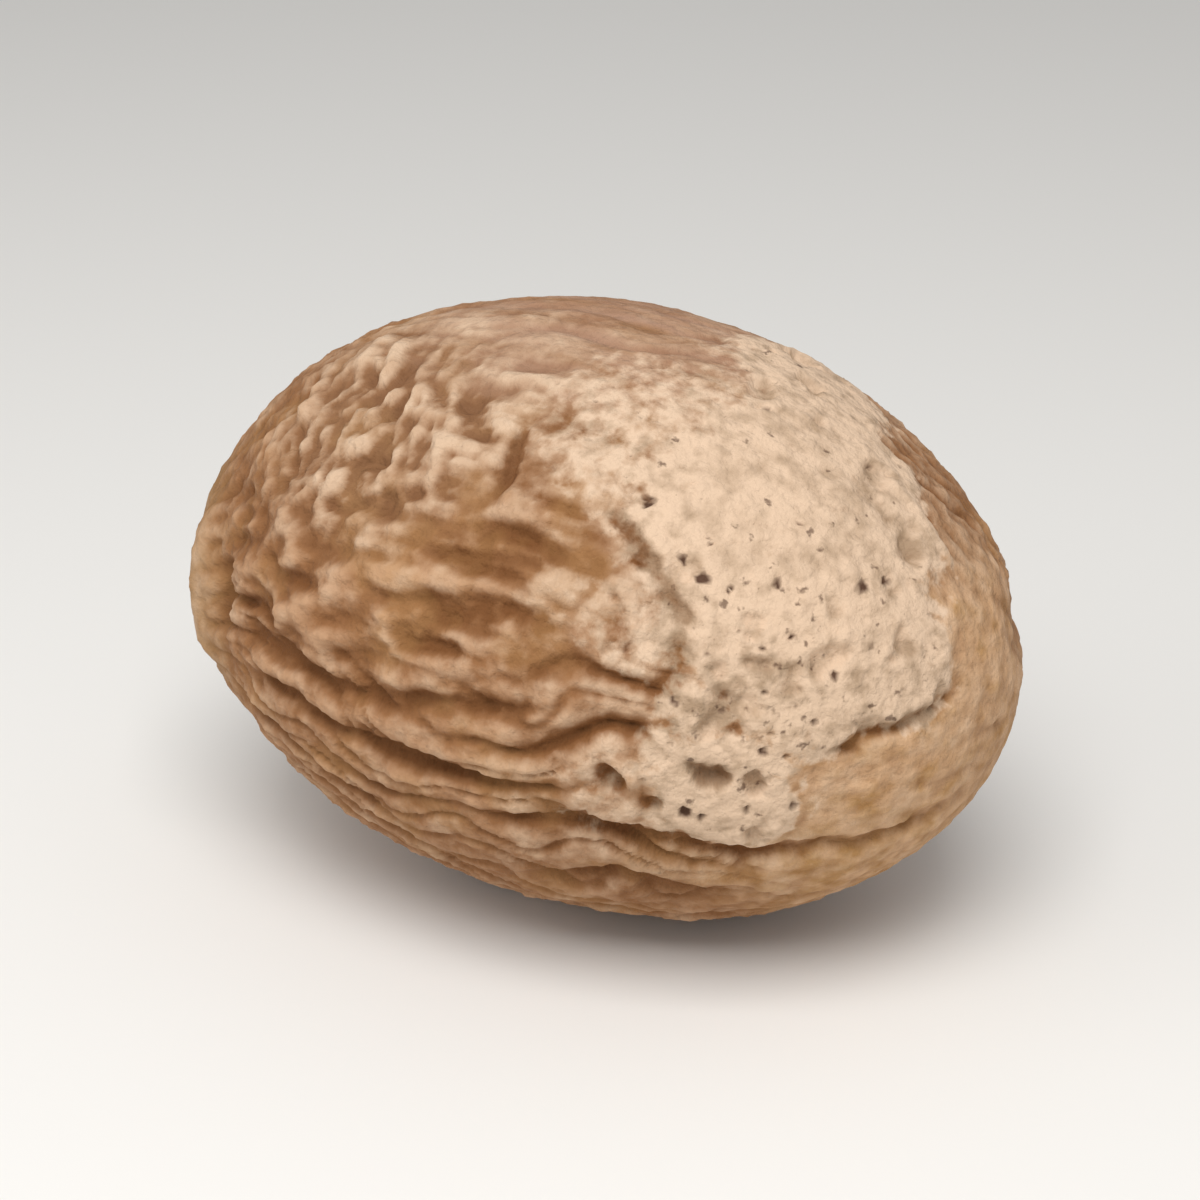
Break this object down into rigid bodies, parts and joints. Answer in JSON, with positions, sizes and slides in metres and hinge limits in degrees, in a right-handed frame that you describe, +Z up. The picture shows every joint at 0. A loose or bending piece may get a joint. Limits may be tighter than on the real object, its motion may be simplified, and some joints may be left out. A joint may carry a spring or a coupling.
{
  "type": "whole nutmeg",
  "caption": "Whole dried nutmeg kernel lying on its side: a wrinkled brown ovoid with lengthwise furrows, short broken ridges, a pale worn patch and a scar at each end.",
  "frame": {"origin": "centre of the small flat spot on the underside that the kernel rests on", "axes": "+Z up, +X along the kernel from the end with the seed scar to the other end, dipping 2 degrees towards +X, -Y towards the front, the side with the pale worn patch"},
  "size_m": [0.0292, 0.0207, 0.0198],
  "materials": {
    "nutmeg_skin": null
  },
  "bodies": {
    "root": {"nutmeg": "nutmeg_skin"}
  },
  "joints": []
}
